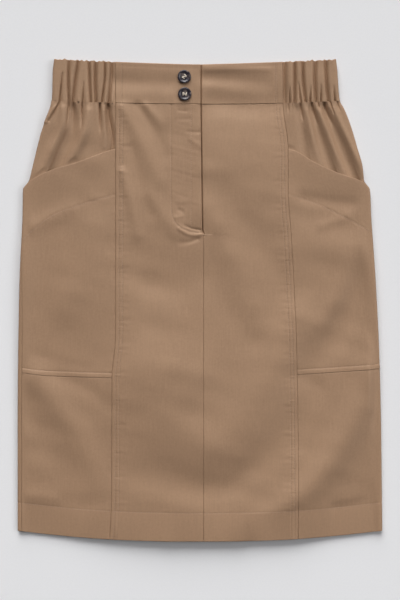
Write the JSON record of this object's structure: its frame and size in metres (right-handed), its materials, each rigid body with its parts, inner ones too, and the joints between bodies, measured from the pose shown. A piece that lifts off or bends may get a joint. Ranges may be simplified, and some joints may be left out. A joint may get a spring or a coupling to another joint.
{
  "type": "cargo utility skirt",
  "caption": "Twill utility skirt laid flat on its back, with slanted side pockets, a waist gathered by elastic at the sides and a buttoned fly front.",
  "frame": {"origin": "on the surface that the skirt lies on, under the middle of its outline", "axes": "+X to the wearer's left, +Y up the skirt from hem to waist, +Z away from the surface, out of the skirt's front"},
  "size_m": [0.4862, 0.642, 0.0151],
  "materials": {
    "twill": "matte tan cotton twill with a slight sheen, seams stitched tone on tone",
    "horn": "satin dark horn with pale mottling",
    "thread": "matte sewing thread in the cloth's colour",
    "button_thread": "matte pale thread that holds the buttons"
  },
  "bodies": {
    "root": {"front_right": "twill", "front_left": "twill", "hip_right": "twill", "hip_left": "twill", "pocket_right": "twill", "pocket_left": "twill", "lower_side_right": "twill", "lower_side_left": "twill", "back": "twill", "waistband_front_right": "twill", "waistband_front_left": "twill", "waistband_back": "twill", "button_upper": "horn", "button_lower": "horn"}
  },
  "joints": []
}
